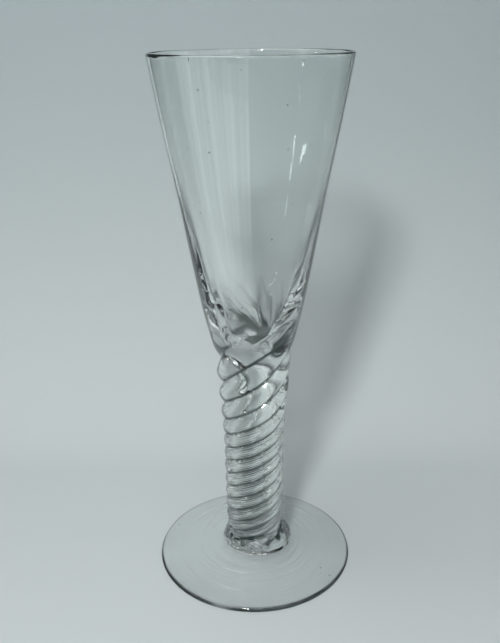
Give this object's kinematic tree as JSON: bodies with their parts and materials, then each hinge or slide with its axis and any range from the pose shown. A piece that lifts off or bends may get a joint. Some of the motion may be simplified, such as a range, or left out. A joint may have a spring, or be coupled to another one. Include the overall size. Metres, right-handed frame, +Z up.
{
  "type": "ale glass",
  "caption": "Tall conical drinking glass on a solid stem ribbed and twisted like a rope, with a thick ribbed bowl base and a low conical foot with a domed boss.",
  "frame": {"origin": "centre of the foot's resting plane, on the axis of the glass", "axes": "+Z up along the axis of the glass, from the foot to the rim; -Y faces the picture's viewer and +X is to that viewer's right"},
  "size_m": [0.0712, 0.0712, 0.18],
  "materials": {
    "bowl": "clear fire-polished glass with a faint grey-green cast",
    "stem": "clear fire-polished glass with a faint grey-green cast",
    "foot": "clear glass with faint tool marks and a worn resting ring",
    "pontil_scar": "rough broken glass"
  },
  "bodies": {
    "root": {"bowl": "bowl", "stem": "stem", "foot": "foot", "pontil_scar": "pontil_scar"}
  },
  "joints": []
}
